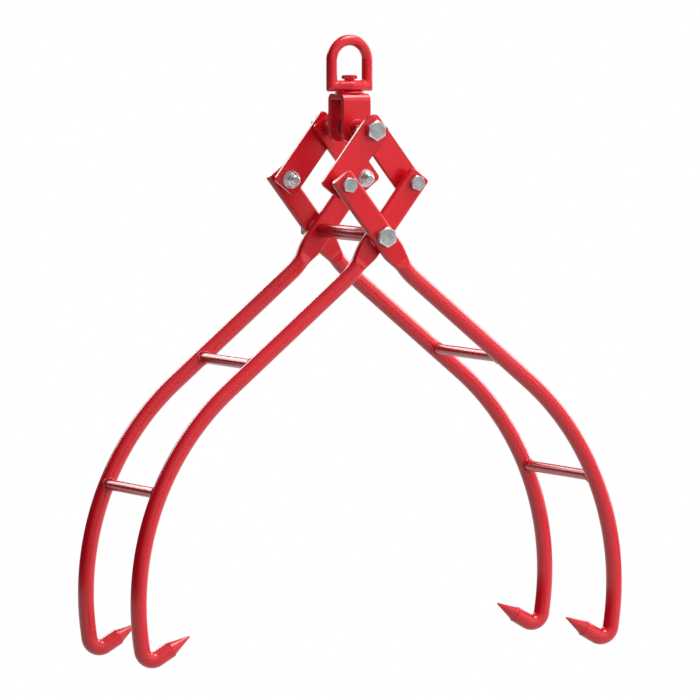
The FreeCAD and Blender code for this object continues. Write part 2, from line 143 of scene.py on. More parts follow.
# The last two light the front faces evenly and are not mirrored in the gloss.
lit_point = Vector((0, 0, -0.35))
for name, spot, size, power, in_gloss in (
    ("overhead_softbox", (0.9, -0.6, 2.6), (2.2, 1.6), 80.0, True),
    ("back_softbox", (-0.7, 3.6, 1.4), (3.0, 1.4), 60.0, True),
    ("right_back_softbox", (3.6, 1.3, 0.8), (2.0, 2.4), 55.0, True),
    ("right_hand_panel", (2.6, -3.2, 0.4), (2.4, 3.0), 80.0, False),
    ("front_fill", (-0.6, -5.0, 0.6), (2.0, 2.0), 30.0, False),
):
    panel = bpy.data.lights.new(name, "AREA")
    panel.shape = "RECTANGLE"
    panel.size, panel.size_y = size
    panel.energy = power
    lamp = bpy.data.objects.new(name, panel)
    lamp.location = spot
    lamp.rotation_euler = (lit_point - lamp.location).to_track_quat("-Z", "Y").to_euler()
    lamp.visible_camera = False
    lamp.visible_glossy = in_gloss
    bpy.context.collection.objects.link(lamp)

# ------------------------------------------------------------------
# Swivel ring: the lifting eye. One round steel bar bent to an arch, its foot
# forged square at the corners and swelled to a boss for the swivel pin, then
# powder coated glossy red like everything here but the bolts.
mm = 0.001
pivot = {j["name"]: Vector(j["pos_m"]) for j in frame["joints"]}
top_pivot = pivot["left_link_hinge"]
left_pivot = pivot["right_claw_hinge"]
right_pivot = Vector((-left_pivot.x, 0, left_pivot.z))
bottom_pivot = pivot["left_claw_hinge"]


def socket(group, name, kind, flows, value=None):
    """Add a socket to a node group and set what it holds when nothing is linked."""
    made = group.interface.new_socket(name=name, in_out=flows, socket_type=kind)
    if value is not None:
        made.default_value = value


# Orange peel: the fine ripple that a sprayed coat dries with.
orange_peel = bpy.data.node_groups.new("orange_peel", "ShaderNodeTree")
socket(orange_peel, "Scale", "NodeSocketFloat", "INPUT", 420.0)
socket(orange_peel, "Depth", "NodeSocketFloat", "INPUT", 0.12)
socket(orange_peel, "Normal", "NodeSocketVector", "OUTPUT")
nodes = orange_peel.nodes
given = nodes.new("NodeGroupInput")
result = nodes.new("NodeGroupOutput")
where = nodes.new("ShaderNodeTexCoord")
ripple = nodes.new("ShaderNodeTexNoise")
ripple.inputs["Detail"].default_value = 2.0
broad = nodes.new("ShaderNodeTexNoise")
broad.inputs["Scale"].default_value = 38.0
broad.inputs["Detail"].default_value = 2.0
both = nodes.new("ShaderNodeMath")
both.operation = "ADD"
raised = nodes.new("ShaderNodeBump")
raised.inputs["Distance"].default_value = 0.00012
orange_peel.links.new(where.outputs["Object"], ripple.inputs["Vector"])
orange_peel.links.new(where.outputs["Object"], broad.inputs["Vector"])
orange_peel.links.new(given.outputs["Scale"], ripple.inputs["Scale"])
orange_peel.links.new(ripple.outputs["Fac"], both.inputs[0])
orange_peel.links.new(broad.outputs["Fac"], both.inputs[1])
orange_peel.links.new(both.outputs[0], raised.inputs["Height"])
orange_peel.links.new(given.outputs["Depth"], raised.inputs["Strength"])
orange_peel.links.new(raised.outputs["Normal"], result.inputs["Normal"])

# Rubbed edges: where corners stand proud the coat is thinner and paler.
rubbed_edges = bpy.data.node_groups.new("rubbed_edges", "ShaderNodeTree")
socket(rubbed_edges, "Low", "NodeSocketFloat", "INPUT", 0.56)
socket(rubbed_edges, "High", "NodeSocketFloat", "INPUT", 0.72)
socket(rubbed_edges, "Mask", "NodeSocketFloat", "OUTPUT")
nodes = rubbed_edges.nodes
given = nodes.new("NodeGroupInput")
result = nodes.new("NodeGroupOutput")
shape = nodes.new("ShaderNodeNewGeometry")
where = nodes.new("ShaderNodeTexCoord")
patchy = nodes.new("ShaderNodeTexNoise")
patchy.inputs["Scale"].default_value = 90.0
patchy.inputs["Detail"].default_value = 4.0
proud = nodes.new("ShaderNodeMapRange")
proud.clamp = True
broken = nodes.new("ShaderNodeMath")
broken.operation = "MULTIPLY"
rubbed_edges.links.new(shape.outputs["Pointiness"], proud.inputs["Value"])
rubbed_edges.links.new(given.outputs["Low"], proud.inputs["From Min"])
rubbed_edges.links.new(given.outputs["High"], proud.inputs["From Max"])
rubbed_edges.links.new(where.outputs["Object"], patchy.inputs["Vector"])
rubbed_edges.links.new(proud.outputs["Result"], broken.inputs[0])
rubbed_edges.links.new(patchy.outputs["Fac"], broken.inputs[1])
rubbed_edges.links.new(broken.outputs[0], result.inputs["Mask"])

# Mottle: slow drift of shade and gloss over a surface.
mottle = bpy.data.node_groups.new("mottle", "ShaderNodeTree")
socket(mottle, "Scale", "NodeSocketFloat", "INPUT", 14.0)
socket(mottle, "Dark", "NodeSocketColor", "INPUT", (0.1, 0.1, 0.1, 1))
socket(mottle, "Light", "NodeSocketColor", "INPUT", (0.9, 0.9, 0.9, 1))
socket(mottle, "Gloss Low", "NodeSocketFloat", "INPUT", 0.2)
socket(mottle, "Gloss High", "NodeSocketFloat", "INPUT", 0.3)
socket(mottle, "Color", "NodeSocketColor", "OUTPUT")
socket(mottle, "Roughness", "NodeSocketFloat", "OUTPUT")
nodes = mottle.nodes
given = nodes.new("NodeGroupInput")
result = nodes.new("NodeGroupOutput")
where = nodes.new("ShaderNodeTexCoord")
cloud = nodes.new("ShaderNodeTexNoise")
cloud.inputs["Detail"].default_value = 5.0
shade = nodes.new("ShaderNodeMix")
shade.data_type = "RGBA"
gloss = nodes.new("ShaderNodeMapRange")
gloss.inputs["From Min"].default_value = 0.3
gloss.inputs["From Max"].default_value = 0.7
mottle.links.new(where.outputs["Object"], cloud.inputs["Vector"])
mottle.links.new(given.outputs["Scale"], cloud.inputs["Scale"])
mottle.links.new(cloud.outputs["Fac"], shade.inputs["Factor"])
mottle.links.new(given.outputs["Dark"], shade.inputs[6])
mottle.links.new(given.outputs["Light"], shade.inputs[7])
mottle.links.new(cloud.outputs["Fac"], gloss.inputs["Value"])
mottle.links.new(given.outputs["Gloss Low"], gloss.inputs["To Min"])
mottle.links.new(given.outputs["Gloss High"], gloss.inputs["To Max"])
mottle.links.new(shade.outputs[2], result.inputs["Color"])
mottle.links.new(gloss.outputs["Result"], result.inputs["Roughness"])


def red_powder_coat(name, dark, light, gloss_low, gloss_high, peel):
    """Glossy red polyester powder, baked on."""
    coat = bpy.data.materials.new(name)
    coat.use_nodes = True
    tree = coat.node_tree
    skin = tree.nodes["Principled BSDF"]
    skin.inputs["IOR"].default_value = 1.5
    skin.inputs["Coat Weight"].default_value = 0.35
    skin.inputs["Coat Roughness"].default_value = 0.06
    drift = tree.nodes.new("ShaderNodeGroup")
    drift.node_tree = mottle
    drift.inputs["Dark"].default_value = dark
    drift.inputs["Light"].default_value = light
    drift.inputs["Gloss Low"].default_value = gloss_low
    drift.inputs["Gloss High"].default_value = gloss_high
    rub = tree.nodes.new("ShaderNodeGroup")
    rub.node_tree = rubbed_edges
    thin = tree.nodes.new("ShaderNodeMix")
    thin.data_type = "RGBA"
    thin.inputs[7].default_value = (0.90, 0.10, 0.09, 1)
    fine = tree.nodes.new("ShaderNodeGroup")
    fine.node_tree = orange_peel
    fine.inputs["Depth"].default_value = peel
    tree.links.new(drift.outputs["Color"], thin.inputs[6])
    tree.links.new(rub.outputs["Mask"], thin.inputs["Factor"])
    tree.links.new(thin.outputs[2], skin.inputs["Base Color"])
    tree.links.new(drift.outputs["Roughness"], skin.inputs["Roughness"])
    tree.links.new(fine.outputs["Normal"], skin.inputs["Normal"])
    return coat


ring_red = red_powder_coat("ring_red", (0.56, 0.003, 0.012, 1), (0.70, 0.006, 0.018, 1),
                           0.20, 0.30, 0.10)


def fit_piece(bm, name, body, coat, slot, *stands_for, crease=32.0):
    """Close a piece's skin, give it its finish and hang it on its body."""
    bmesh.ops.remove_doubles(bm, verts=bm.verts, dist=1e-6)
    bmesh.ops.recalc_face_normals(bm, faces=bm.faces)
    mesh = bpy.data.meshes.new(name)
    bm.to_mesh(mesh)
    bm.free()
    mesh.shade_smooth()
    mesh.set_sharp_from_angle(angle=radians(crease))
    mesh.materials.append(coat)
    piece = bpy.data.objects.new(name, mesh)
    bpy.context.collection.objects.link(piece)
    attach(piece, body)
    if stands_for:
        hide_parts(*stands_for)


def verts_of(geometry):
    """The vertices in what an operator gave back."""
    return [g for g in geometry if isinstance(g, bmesh.types.BMVert)]


def edges_of(geometry):
    """The edges in what an operator gave back."""
    return [g for g in geometry if isinstance(g, bmesh.types.BMEdge)]


def rim_of(points):
    """The edges that meet at these vertices, once each."""
    return list({e for v in points for e in v.link_edges})


def loop_points(loop):
    """The vertices of a loop of edges, once each."""
    return list({v for e in loop for v in e.verts})


def draw_out(bm, loop, along):
    """Carry a loop of edges straight on and return the new loop."""
    drawn = bmesh.ops.extrude_edge_only(bm, edges=loop)["geom"]
    bmesh.ops.translate(bm, verts=verts_of(drawn), vec=along)
    return edges_of(drawn)


def bend_round(bm, loop, centre, axis, angle, steps):
    """Carry a loop of edges round a bend and return the new loop."""
    spun = bmesh.ops.spin(bm, geom=loop + loop_points(loop), cent=centre, axis=axis,
                          angle=angle, steps=steps, use_duplicate=False)
    return edges_of(spun["geom_last"])


ring_low, ring_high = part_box("swivel_ring")
bar_r = 7.2 * mm
leg_x = ring_high[0] - bar_r
foot_z = ring_low[2] + bar_r
corner_run = bar_r * 1.5
foot_steps = 30
boss_r = ring_high[1]
# Where the straight flank between boss and bar begins and ends, as (x, y).
boss_meets_bar = Vector((4.5, 14.3)) * mm
bar_meets_boss = Vector((28.16, 6.87)) * mm
bm = bmesh.new()
bearing = bm.verts.layers.float.new("bearing")
hoop = bmesh.ops.create_circle(bm, segments=64, radius=bar_r,
                               matrix=Matrix.Translation((leg_x, 0, 0)))
right_leg = rim_of(hoop["verts"])
left_leg = bend_round(bm, right_leg, (0, 0, 0), (0, 1, 0), -pi, 72)
for side, leg in ((1, right_leg), (-1, left_leg)):
    for step in range(6):
        leg = draw_out(bm, leg, (0, 0, (foot_z + corner_run) / 6))
    mitre = draw_out(bm, leg, (0, 0, -corner_run))
    for v in loop_points(mitre):
        v.co.z = foot_z - (side * v.co.x - leg_x)
        v[bearing] = atan2(v.co.z - foot_z, v.co.y)
    foot = mitre
    for step in range(foot_steps + 1):
        x = (leg_x - bar_r * 1.3) * (1 - step / foot_steps)
        out = bar_meets_boss.y + (boss_meets_bar.y - bar_meets_boss.y) * (
            (bar_meets_boss.x - x) / (bar_meets_boss.x - boss_meets_bar.x))
        if x < boss_meets_bar.x:
            out = sqrt(boss_r ** 2 - x ** 2)
        out = max(out, bar_r)
        squareness = 1.0 - 0.45 * (out - bar_r) / (boss_r - bar_r)
        foot = draw_out(bm, foot, (0, 0, 0))
        for v in loop_points(foot):
            across, up = cos(v[bearing]), sin(v[bearing])
            v.co = (side * x,
                    out * abs(across) ** squareness * (1 if across > 0 else -1),
                    foot_z + bar_r * abs(up) ** squareness * (1 if up > 0 else -1))
    bmesh.ops.bevel(bm, geom=mitre, affect="EDGES", offset=2.4 * mm, segments=4, profile=0.5,
                    material=-1)
fit_piece(bm, "forged_ring", "ring", ring_red, "red_coat", "swivel_ring")

# ------------------------------------------------------------------
# Swivel pin: a shouldered steel pin with a hexagon head, dropped through the
# ring's boss before coating, so head and neck are red too.
def hexagon(bm, flats, low, high, lip):
    """A hexagon on end from low to high, turned to a round lip of that radius at both rims."""
    rims = []
    for z, inward in ((high, -1), (low, 1)):
        disc = bmesh.ops.create_circle(bm, cap_ends=True, segments=96, radius=lip,
                                       matrix=Matrix.Translation((0, 0, z)))
        rim = draw_out(bm, rim_of(disc["verts"]), (0, 0, 0))
        for v in loop_points(rim):
            turn = atan2(v.co.x, v.co.y)
            reach = flats / 2 / cos(turn % (pi / 3) - pi / 6)
            fall = (reach - lip) * tan(radians(30))
            v.co = (reach * sin(turn), reach * cos(turn), z + inward * fall)
        rims += rim
    bmesh.ops.bridge_loops(bm, edges=rims)


def turned(bm, outline, segments=72):
    """Turn a closed outline of (radius, height) points about the upright axis."""
    points = [bm.verts.new((r, 0, z)) for r, z in outline]
    edges = [bm.edges.new((a, b)) for a, b in zip(points, points[1:] + points[:1])]
    bmesh.ops.spin(bm, geom=points + edges, cent=(0, 0, 0), axis=(0, 0, 1), angle=2 * pi,
                   steps=segments, use_merge=True, use_duplicate=False)


def sleeve(inner, outer, low, high, rim):
    """Outline of a tube or washer on end with its four rims rounded off."""
    return [(inner + rim, low), (outer - rim, low), (outer - rim * 0.3, low + rim * 0.3),
            (outer, low + rim), (outer, high - rim),
            (outer - rim * 0.3, high - rim * 0.3), (outer - rim, high),
            (inner + rim, high), (inner, high - rim), (inner, low + rim)]


pin_low, pin_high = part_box("swivel_pin")
pin_flats = 18 * mm
pin_r = 6 * mm
pin_neck_r = 6.6 * mm
axis_r = 0.1 * mm
head_foot = pin_high[2] - 5.4 * mm
neck_top = head_foot + 0.2 * mm
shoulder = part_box("bracket")[1][2]
bm = bmesh.new()
hexagon(bm, pin_flats, head_foot, pin_high[2], 8.6 * mm)
turned(bm, [(axis_r, pin_low[2]), (4.6 * mm, pin_low[2]), (pin_r, pin_low[2] + 1.4 * mm),
            (pin_r, shoulder), (pin_neck_r, shoulder), (pin_neck_r, neck_top), (axis_r, neck_top)])
fit_piece(bm, "shouldered_pin", "hanger", ring_red, "red_coat", "swivel_pin", crease=22)

# ------------------------------------------------------------------
# Thrust washer: a flat steel disc with rounded rims, laid over the pin between
# the ring's boss and the bracket. The ring turns on it.
disc_low, disc_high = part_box("thrust_washer")
bm = bmesh.new()
turned(bm, sleeve(6.62 * mm, disc_high[0], disc_low[2], disc_high[2], 0.9 * mm), segments=96)
fit_piece(bm, "thrust_disc", "hanger", ring_red, "red_coat", "thrust_washer", crease=50)

# ------------------------------------------------------------------
# Bracket: a flat steel bar bent to a U over the top pivot tube, its feet
# rounded and its sheared edges dulled before coating.
plate_red = red_powder_coat("plate_red", (0.58, 0.003, 0.012, 1), (0.68, 0.006, 0.018, 1),
                            0.22, 0.32, 0.020)


def along(edge, axis):
    """Whether an edge runs along X, Y or Z, given as 0, 1 or 2."""
    run = edge.verts[1].co - edge.verts[0].co
    return run.length > 1e-6 and abs(run[axis]) > 0.999 * run.length


def dull_rims(bm, offset, sharper_than=50):
    """Round every sharp rim a little and frame each wide face, so wear stays at its edges."""
    rims = [e for e in bm.edges
            if len(e.link_faces) == 2 and e.calc_face_angle() > radians(sharper_than)]
    bmesh.ops.bevel(bm, geom=rims, affect="EDGES", offset=offset, segments=3, profile=0.5,
                    material=-1)
    wide = [f for f in bm.faces if f.calc_area() > 60 * offset * offset]
    bmesh.ops.inset_individual(bm, faces=wide, thickness=offset)


u_low, u_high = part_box("bracket")
plate = 7.5 * mm
outer_bend_r = 9.3 * mm
inner_bend_r = 1.8 * mm
foot_r = 12 * mm
deep = u_high[1]
feet_z = u_low[2] - 5 * mm
outline = [(-deep, feet_z), (-deep, u_high[2]), (deep, u_high[2]), (deep, feet_z),
           (deep - plate, feet_z), (deep - plate, u_high[2] - plate),
           (plate - deep, u_high[2] - plate), (plate - deep, feet_z)]
bm = bmesh.new()
blank = bm.faces.new([bm.verts.new((u_low[0], y, z)) for y, z in outline])
drawn = bmesh.ops.extrude_face_region(bm, geom=[blank], use_keep_orig=True)["geom"]
bmesh.ops.translate(bm, verts=verts_of(drawn), vec=(u_high[0] - u_low[0], 0, 0))
bmesh.ops.recalc_face_normals(bm, faces=bm.faces)
for level, radius, steps in ((u_high[2], outer_bend_r, 14), (u_high[2] - plate, inner_bend_r, 5)):
    bends = [e for e in bm.edges if along(e, 0) and abs(e.verts[0].co.z - level) < 1e-6]
    bmesh.ops.bevel(bm, geom=bends, affect="EDGES", offset=radius, segments=steps, profile=0.5,
                    material=-1)
corners = [e for e in bm.edges if along(e, 1) and abs(e.verts[0].co.z - feet_z) < 1e-6]
bmesh.ops.bevel(bm, geom=corners, affect="EDGES", offset=foot_r, segments=12, profile=0.5,
                material=-1)
dull_rims(bm, 0.7 * mm)
fit_piece(bm, "bent_bracket", "hanger", plate_red, "red_coat", "bracket", crease=35)

# ------------------------------------------------------------------
# Swivel nut: a zinc-plated hexagon nut screwed on the pin under the bracket's
# top. It keeps the pin, and its faces are chamfered on both sides.
plating = bpy.data.node_groups.new("plating", "ShaderNodeTree")
socket(plating, "Depth", "NodeSocketFloat", "INPUT", 0.15)
socket(plating, "Normal", "NodeSocketVector", "OUTPUT")
nodes = plating.nodes
given = nodes.new("NodeGroupInput")
result = nodes.new("NodeGroupOutput")
where = nodes.new("ShaderNodeTexCoord")
grain = nodes.new("ShaderNodeTexNoise")
grain.inputs["Scale"].default_value = 900.0
grain.inputs["Detail"].default_value = 3.0
dents = nodes.new("ShaderNodeTexNoise")
dents.inputs["Scale"].default_value = 160.0
both = nodes.new("ShaderNodeMath")
both.operation = "ADD"
raised = nodes.new("ShaderNodeBump")
raised.inputs["Distance"].default_value = 0.00008
plating.links.new(where.outputs["Object"], grain.inputs["Vector"])
plating.links.new(where.outputs["Object"], dents.inputs["Vector"])
plating.links.new(grain.outputs["Fac"], both.inputs[0])
plating.links.new(dents.outputs["Fac"], both.inputs[1])
plating.links.new(both.outputs[0], raised.inputs["Height"])
plating.links.new(given.outputs["Depth"], raised.inputs["Strength"])
plating.links.new(raised.outputs["Normal"], result.inputs["Normal"])


def bright_zinc(name, dark, light, gloss_low, gloss_high):
    """Electroplated zinc with a clear passivate, worn brighter at its corners."""
    metal = bpy.data.materials.new(name)
    metal.use_nodes = True
    tree = metal.node_tree
    skin = tree.nodes["Principled BSDF"]
    skin.inputs["Metallic"].default_value = 1.0
    drift = tree.nodes.new("ShaderNodeGroup")
    drift.node_tree = mottle
    drift.inputs["Scale"].default_value = 70.0
    drift.inputs["Dark"].default_value = dark
    drift.inputs["Light"].default_value = light
    drift.inputs["Gloss Low"].default_value = gloss_low
    drift.inputs["Gloss High"].default_value = gloss_high
    rub = tree.nodes.new("ShaderNodeGroup")
    rub.node_tree = rubbed_edges
    worn = tree.nodes.new("ShaderNodeMix")
    worn.data_type = "RGBA"
    worn.inputs[7].default_value = (0.92, 0.93, 0.92, 1)
    fine = tree.nodes.new("ShaderNodeGroup")
    fine.node_tree = plating
    tree.links.new(drift.outputs["Color"], worn.inputs[6])
    tree.links.new(rub.outputs["Mask"], worn.inputs["Factor"])
    tree.links.new(worn.outputs[2], skin.inputs["Base Color"])
    tree.links.new(drift.outputs["Roughness"], skin.inputs["Roughness"])
    tree.links.new(fine.outputs["Normal"], skin.inputs["Normal"])
    return metal


zinc = bright_zinc("bright_zinc", (0.55, 0.57, 0.57, 1), (0.78, 0.80, 0.80, 1), 0.20, 0.36)
nut_low, nut_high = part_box("swivel_pin_nut")
bm = bmesh.new()
hexagon(bm, pin_flats, nut_low[2], nut_high[2], 8.5 * mm)
fit_piece(bm, "pin_nut", "hanger", zinc, "zinc", "swivel_pin_nut", crease=22)

# ------------------------------------------------------------------
# Top pivot tube: drawn tube passed through the bracket's legs and welded
# round on both faces of each before coating.
def stand_out(bm, x, y, z, out, turn=0.0):
    """Lay what was made on end along Y, its top to the rear for out = 1, and set it in place."""
    bmesh.ops.transform(bm, verts=bm.verts, matrix=Matrix.Translation((x, y, z))
                        @ Matrix.Rotation(-pi / 2 * out, 4, "X")
                        @ Matrix.Rotation(radians(turn), 4, "Z"))


def weld_bead(bm, around, thick, ripples, level):
    """Run a rippled bead round a bar on end. level(turn) is its height at each bearing."""
    before = set(bm.verts)
    start = bmesh.ops.create_circle(bm, segments=16, radius=thick,
                                    matrix=Matrix.Translation((around, 0, 0))
                                    @ Matrix.Rotation(pi / 2, 4, "X"))
    ring = rim_of(start["verts"])
    bmesh.ops.spin(bm, geom=ring + loop_points(ring), cent=(0, 0, 0), axis=(0, 0, 1), angle=2 * pi,
                   steps=144, use_merge=True, use_duplicate=False)
    for v in set(bm.verts) - before:
        turn = atan2(v.co.y, v.co.x)
        swell = 1 + 0.07 * sin(ripples * turn) + 0.06 * sin(3 * turn + 1)
        r = around + (hypot(v.co.x, v.co.y) - around) * swell
        v.co = (r * cos(turn), r * sin(turn), v.co.z * swell + level(turn))


tube_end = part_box("top_pivot_tube")[1][1]
tube_r = 11 * mm
bm = bmesh.new()
turned(bm, sleeve(8.06 * mm, tube_r, -tube_end, tube_end, 0.4 * mm), segments=96)
for wall in (deep, deep - plate):
    for end in (-1, 1):
        weld_bead(bm, 11.2 * mm, 1.5 * mm, 26, lambda turn: end * wall)
stand_out(bm, 0, 0, top_pivot.z, 1)
fit_piece(bm, "welded_top_tube", "hanger", plate_red, "red_coat", "top_pivot_tube", crease=40)

# ------------------------------------------------------------------
# Top pivot bolt: one long zinc-plated hexagon bolt from front to rear, with a
# washer and a nut at its rear end. The links turn on it.
def threaded_bolt(bm, flats, head, lip, radius, length, pitch):
    """A bolt on end: its head stands up from zero and its shank hangs down, threaded at the end."""
    hexagon(bm, flats, 0.0, head, lip)
    outline = [(axis_r, 0.5 * mm), (radius, 0.5 * mm), (radius, -length + 7 * pitch)]
    for groove in range(6):
        z = -length + (7 - groove) * pitch
        outline += [(radius, z - 0.15 * pitch), (radius - 0.55 * pitch, z - 0.5 * pitch),
                    (radius, z - 0.85 * pitch)]
    outline += [(radius, -length + 0.8 * pitch), (radius - 0.8 * pitch, -length), (axis_r, -length)]
    turned(bm, outline)


def bolt_along_y(name, node, body, size, at, out, turn=0.0, head_thick=10.0):
    """A bolt in its place. A size is (across flats, shank radius, lip radius, pitch) in millimetres."""
    flats, radius, lip, pitch = (k * mm for k in size)
    low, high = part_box(node)
    head_end = high[1] if out > 0 else low[1]
    seat = head_end - out * head_thick * mm
    bm = bmesh.new()
    threaded_bolt(bm, flats, head_thick * mm, lip, radius, high[1] - low[1] - head_thick * mm, pitch)
    stand_out(bm, at.x, seat, at.z, out, turn)
    fit_piece(bm, name, body, zinc, "zinc", node, crease=22)


def washer_along_y(name, node, body, inner, at):
    """A washer in its place, its hole given by the inner radius in millimetres."""
    low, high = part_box(node)
    bm = bmesh.new()
    turned(bm, sleeve(inner * mm, (high[2] - low[2]) / 2, low[1], high[1], 0.25 * mm), segments=64)
    stand_out(bm, at.x, 0, at.z, 1)
    fit_piece(bm, name, body, zinc, "zinc", node, crease=40)


def nut_along_y(name, node, body, size, at, out, turn=0.0, collar=0.0):
    """A nut that bears towards the middle plane for out = 1 at the rear. A lock nut has a collar."""
    flats, radius, lip = (k * mm for k in size[:3])
    low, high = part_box(node)
    height = high[1] - low[1]
    bm = bmesh.new()
    hexagon(bm, flats, 0.0, height - collar * mm, lip)
    if collar:
        skirt = flats / 2 * 0.93
        foot = height - collar * mm - 0.5 * mm
        turned(bm, [(radius, foot), (skirt, foot), (skirt, height - 1.3 * mm),
                    (skirt - 0.4 * mm, height - 0.5 * mm), (skirt - 1.3 * mm, height),
                    (radius + 0.6 * mm, height), (radius, height - 0.5 * mm)])
    stand_out(bm, at.x, low[1] if out > 0 else high[1], at.z, out, turn)
    fit_piece(bm, name, body, zinc, "zinc", node, crease=22)


M12 = (18.0, 6.0, 8.5, 1.75)
M16 = (24.0, 8.0, 10.6, 2.0)
m16_hole = 8.02
m12_hole = 6.02
bolt_along_y("long_top_bolt", "top_pivot_bolt", "top_bolt", M16, top_pivot, -1)
washer_along_y("top_bolt_washer", "top_pivot_washer", "top_bolt", m16_hole, top_pivot)
nut_along_y("top_bolt_nut", "top_pivot_nut", "top_bolt", M16, top_pivot, 1)

# ------------------------------------------------------------------
# Links: four flat bars with rounded corners, drilled at both ends on the real grapple; the holes are not
# cut here, as the bolts fill them. The left pair lies outside the right pair, and all four turn on the top
# bolt.
link_red = red_powder_coat("link_red", (0.60, 0.003, 0.012, 1), (0.70, 0.006, 0.018, 1),
                           0.20, 0.30, 0.018)
link_wide = 37 * mm
link_past_holes = 29 * mm
spacing = (left_pivot - top_pivot).length
lean = atan2(-left_pivot.x, top_pivot.z - left_pivot.z)
for end in ("front", "rear"):
    for side, name in ((-1, "left"), (1, "right")):
        low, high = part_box(f"{end}_{name}_link")
        bm = bmesh.new()
        bmesh.ops.create_cube(bm, size=1.0, matrix=Matrix.LocRotScale(
            Vector((0, 0, -spacing / 2)), None,
            Vector((link_wide, high[1] - low[1], spacing + link_past_holes))))
        corners = [e for e in bm.edges if along(e, 1)]
        bmesh.ops.bevel(bm, geom=corners, affect="EDGES", offset=6 * mm, segments=10, profile=0.5,
                        material=-1)
        dull_rims(bm, 0.6 * mm)
        bmesh.ops.transform(bm, verts=bm.verts,
                            matrix=Matrix.Translation((0, (low[1] + high[1]) / 2, top_pivot.z))
                            @ Matrix.Rotation(-side * lean, 4, "Y"))
        fit_piece(bm, f"{end}_{name}_bar", f"{name}_links", link_red, "red_coat", f"{end}_{name}_link",
                  crease=35)

# ------------------------------------------------------------------
# Side pivots: short zinc-plated bolts with their heads outside, each holding
# an arm, a spacer sleeve and a link with a washer and a lock nut inside.
for name, at, turn in (("left", left_pivot, 20.0), ("right", right_pivot, 12.0)):
    for end, out in (("front", -1), ("rear", 1)):
        tag = f"{end}_{name}"
        body = f"{name}_links"
        bolt_along_y(tag + "_short_bolt", tag + "_bolt", body, M12, at, out, turn, head_thick=7.5)
        washer_along_y(tag + "_plain_washer", tag + "_washer", body, m12_hole, at)
        nut_along_y(tag + "_lock_nut", tag + "_nut", body, M12, at, -out, turn, collar=3.2)
        low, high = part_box(tag + "_spacer")
        bm = bmesh.new()
        turned(bm, sleeve(m12_hole * mm, 10.5 * mm, low[1], high[1], 0.3 * mm))
        stand_out(bm, at.x, 0, at.z, 1)
        fit_piece(bm, tag + "_sleeve", body, link_red, "red_coat", tag + "_spacer", crease=40)

# ------------------------------------------------------------------
# Arms: each is one round bar. Its upper end is upset and pressed to a flat
# paddle that runs out below in a scoop, the bar is bent at the knee and into a
# long bow, and its end is hooked in and turned to a point.
arm_red = red_powder_coat("arm_red", (0.58, 0.003, 0.012, 1), (0.70, 0.006, 0.018, 1),
                          0.18, 0.28, 0.018)
rod_r = 10.6 * mm
flat_y = 6.25 * mm
paddle_half = 16 * mm
corner_r = 3.5 * mm
end_rim_r = 1.2 * mm
scoop_r = 16 * mm
scoop_top = -40 * mm
paddle_narrows = -22 * mm
# The bar below the paddle, in millimetres and degrees: a bend is a radius and a turn.
knee_r, knee_turn = 90.0, 12.8
shank = 220.6
bow_r, bow_turn = 354.0, -58.5
run_to_hook = 8.9
hook_r, hook_turn = 15.0, -112.0
run_to_point = 21.5
paddle_top = spacing + 13.5 * mm
knee_top = -62 * mm + knee_r * mm * tan(radians(knee_turn / 2))
# The turned point: how far past the bar's end, and the radius there, in millimetres.
point_outline = ((0.25, 9.9), (0.8, 9.7), (4.0, 8.6), (8.0, 7.4), (12.0, 6.25), (16.0, 5.1),
                 (20.0, 4.0), (24.0, 2.9), (28.0, 1.8), (29.9, 1.3), (30.6, 0.9), (31.0, 0.4))


def heading_out(heading):
    """Down for 0 degrees and towards +X for 90."""
    return Vector((sin(radians(heading)), 0, -cos(radians(heading))))


def bend_of(at, heading, radius, amount):
    """Centre, end and end heading of a bend. A positive amount turns towards +X."""
    middle = at + heading_out(heading + 90) * radius * (1 if amount > 0 else -1)
    end = middle + Matrix.Rotation(-radians(amount), 3, "Y") @ (at - middle)
    return middle, end, heading + amount


def pressed(y, limit):
    """Where a skin at y comes to when two flat dies close to plus and minus limit."""
    return y / (1 + (abs(y) / limit) ** 22) ** (1 / 22)


def paddle_levels():
    """Heights from the bar up to the paddle's end: dense in the scoop and at the end's corners."""
    level = knee_top
    while level < -24 * mm:
        level += 0.6 * mm
        yield level
    while level < paddle_top - 14 * mm:
        level += 6 * mm
        yield level
    for below in (6.0, 3.5, 2.9, 2.3, 1.8, 1.4, 1.1, 0.85, 0.6, 0.4, 0.22, 0.08, 0.0):
        yield paddle_top - below * mm


